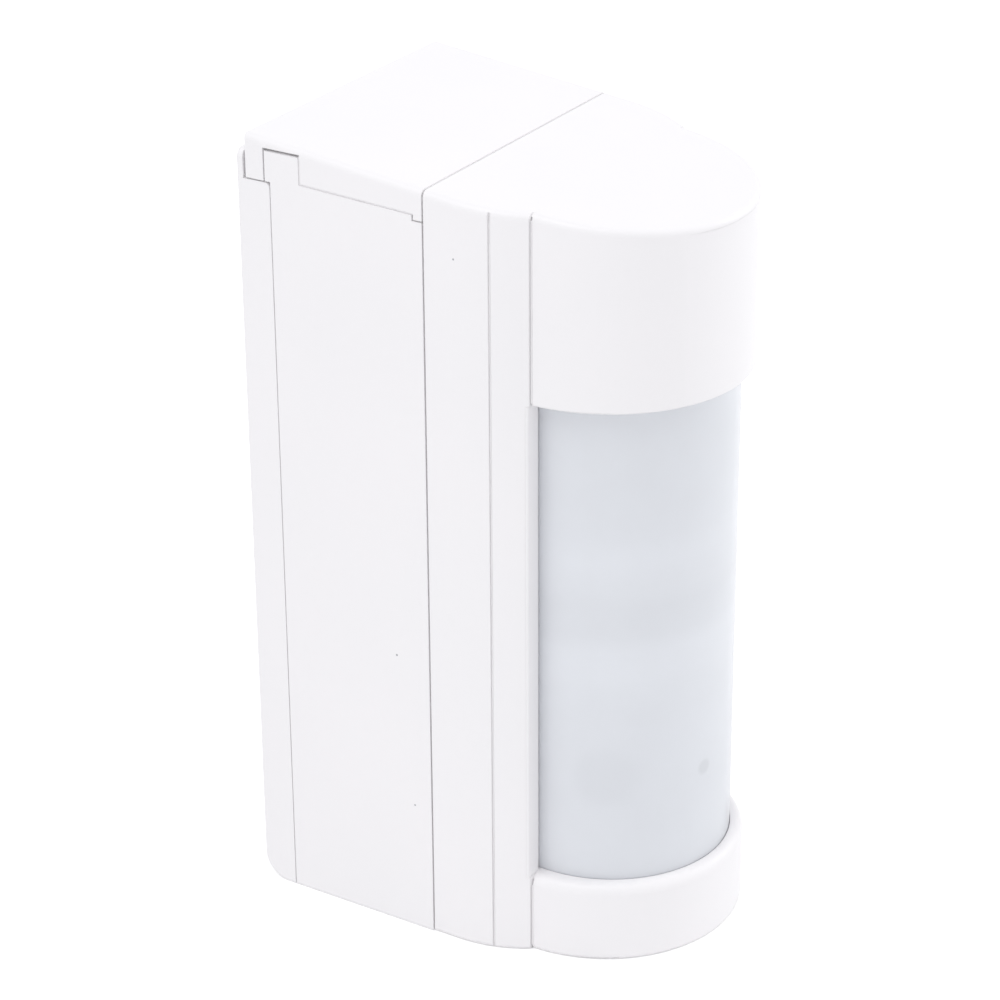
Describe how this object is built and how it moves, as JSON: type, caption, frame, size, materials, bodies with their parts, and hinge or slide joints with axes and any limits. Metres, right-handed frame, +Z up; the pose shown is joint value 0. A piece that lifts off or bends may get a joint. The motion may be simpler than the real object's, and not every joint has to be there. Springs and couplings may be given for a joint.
{
  "type": "outdoor motion detector",
  "caption": "Wall-mounted outdoor passive infrared motion detector: deep rounded white housing with a sloping roof, a milky wrap-round window under a hood, a screwed cap and a wall plate.",
  "frame": {"origin": "middle of the footprint, on the flat underside", "axes": "+Z up, the nose with the window looks along -Y, the wall is at +Y, +X is to the right for someone who faces the window"},
  "size_m": [0.0756, 0.1028, 0.1859],
  "materials": {
    "housing_white": "fine satin moulded plastic",
    "window_milky": "milky satin plastic, a little see-through",
    "seal_grey": "soft matt",
    "grommet_black": "soft matt",
    "inner_white": "matt moulded plastic",
    "inner_black": "matt moulded plastic",
    "lens_plastic": "thin milky sheet",
    "screw_steel": "zinc plated",
    "sensor_can": "plated can",
    "contact_brass": "bright sheet",
    "board_green": "solder mask",
    "board_white": "white solder mask",
    "component_black": "moulded package",
    "terminal_green": "moulded block",
    "switch_blue": "moulded body",
    "lever_white": "moulded lever",
    "indicator_red": "tinted clear resin",
    "cell_jacket": "plain jacket"
  },
  "bodies": {
    "housing": {"wall_plate": "housing_white", "back_box": "housing_white", "roof_cap": "housing_white", "front_cover": "housing_white", "window": "window_milky", "window_seal": "seal_grey", "window_frame": "inner_white", "frame_screws": "screw_steel", "cover_screw": "screw_steel", "screw_washer": "seal_grey", "box_lock_screw": "screw_steel", "cap_screws": "screw_steel", "cable_grommet": "grommet_black", "box_gasket": "seal_grey", "detector_base": "inner_white", "base_screws": "screw_steel", "upper_bracket": "inner_white", "lower_bracket": "inner_white", "bracket_screws": "screw_steel", "main_board": "board_green", "board_screws": "screw_steel", "board_parts": "component_black", "terminal_block": "terminal_green", "terminal_screws": "screw_steel", "control_board": "board_white", "control_screws": "screw_steel", "link_board": "board_green", "dip_housing": "switch_blue", "alarm_led": "indicator_red", "tamper_switch": "component_black", "wall_tamper_switch": "component_black", "battery_holder": "inner_black", "battery_contacts": "contact_brass", "battery_1": "cell_jacket", "battery_2": "cell_jacket", "battery_3": "cell_jacket"},
    "optics": {"lens_carrier": "inner_white", "fresnel_lens": "lens_plastic", "sensor_board": "board_green", "upper_pyro": "sensor_can", "lower_pyro": "sensor_can"},
    "cover_tamper": {"tamper_plunger": "lever_white"},
    "wall_tamper": {"wall_tamper_plunger": "lever_white"},
    "dip_1": {"dip_lever_1": "lever_white"},
    "dip_2": {"dip_lever_2": "lever_white"},
    "dip_3": {"dip_lever_3": "lever_white"},
    "dip_4": {"dip_lever_4": "lever_white"}
  },
  "joints": [
    {"name": "optics_pan", "type": "hinge", "parent": "housing", "child": "optics", "pos_m": [0, -0.02115, 0.095], "axis": [0, 0, 1], "range_deg": [-45, 45]},
    {"name": "cover_tamper_press", "type": "slide", "parent": "housing", "child": "cover_tamper", "axis": [0, 1, 0], "range_m": [0, 0.0012], "stiffness_N_per_m": 600, "springref_m": -0.0005},
    {"name": "wall_tamper_press", "type": "slide", "parent": "housing", "child": "wall_tamper", "axis": [0, -1, 0], "range_m": [0, 0.002], "stiffness_N_per_m": 500, "springref_m": -0.001},
    {"name": "dip_1_slide", "type": "slide", "parent": "housing", "child": "dip_1", "axis": [0, 0, 1], "range_m": [0, 0.0016]},
    {"name": "dip_2_slide", "type": "slide", "parent": "housing", "child": "dip_2", "axis": [0, 0, 1], "range_m": [0, 0.0016]},
    {"name": "dip_3_slide", "type": "slide", "parent": "housing", "child": "dip_3", "axis": [0, 0, 1], "range_m": [0, 0.0016]},
    {"name": "dip_4_slide", "type": "slide", "parent": "housing", "child": "dip_4", "axis": [0, 0, 1], "range_m": [0, 0.0016]}
  ]
}
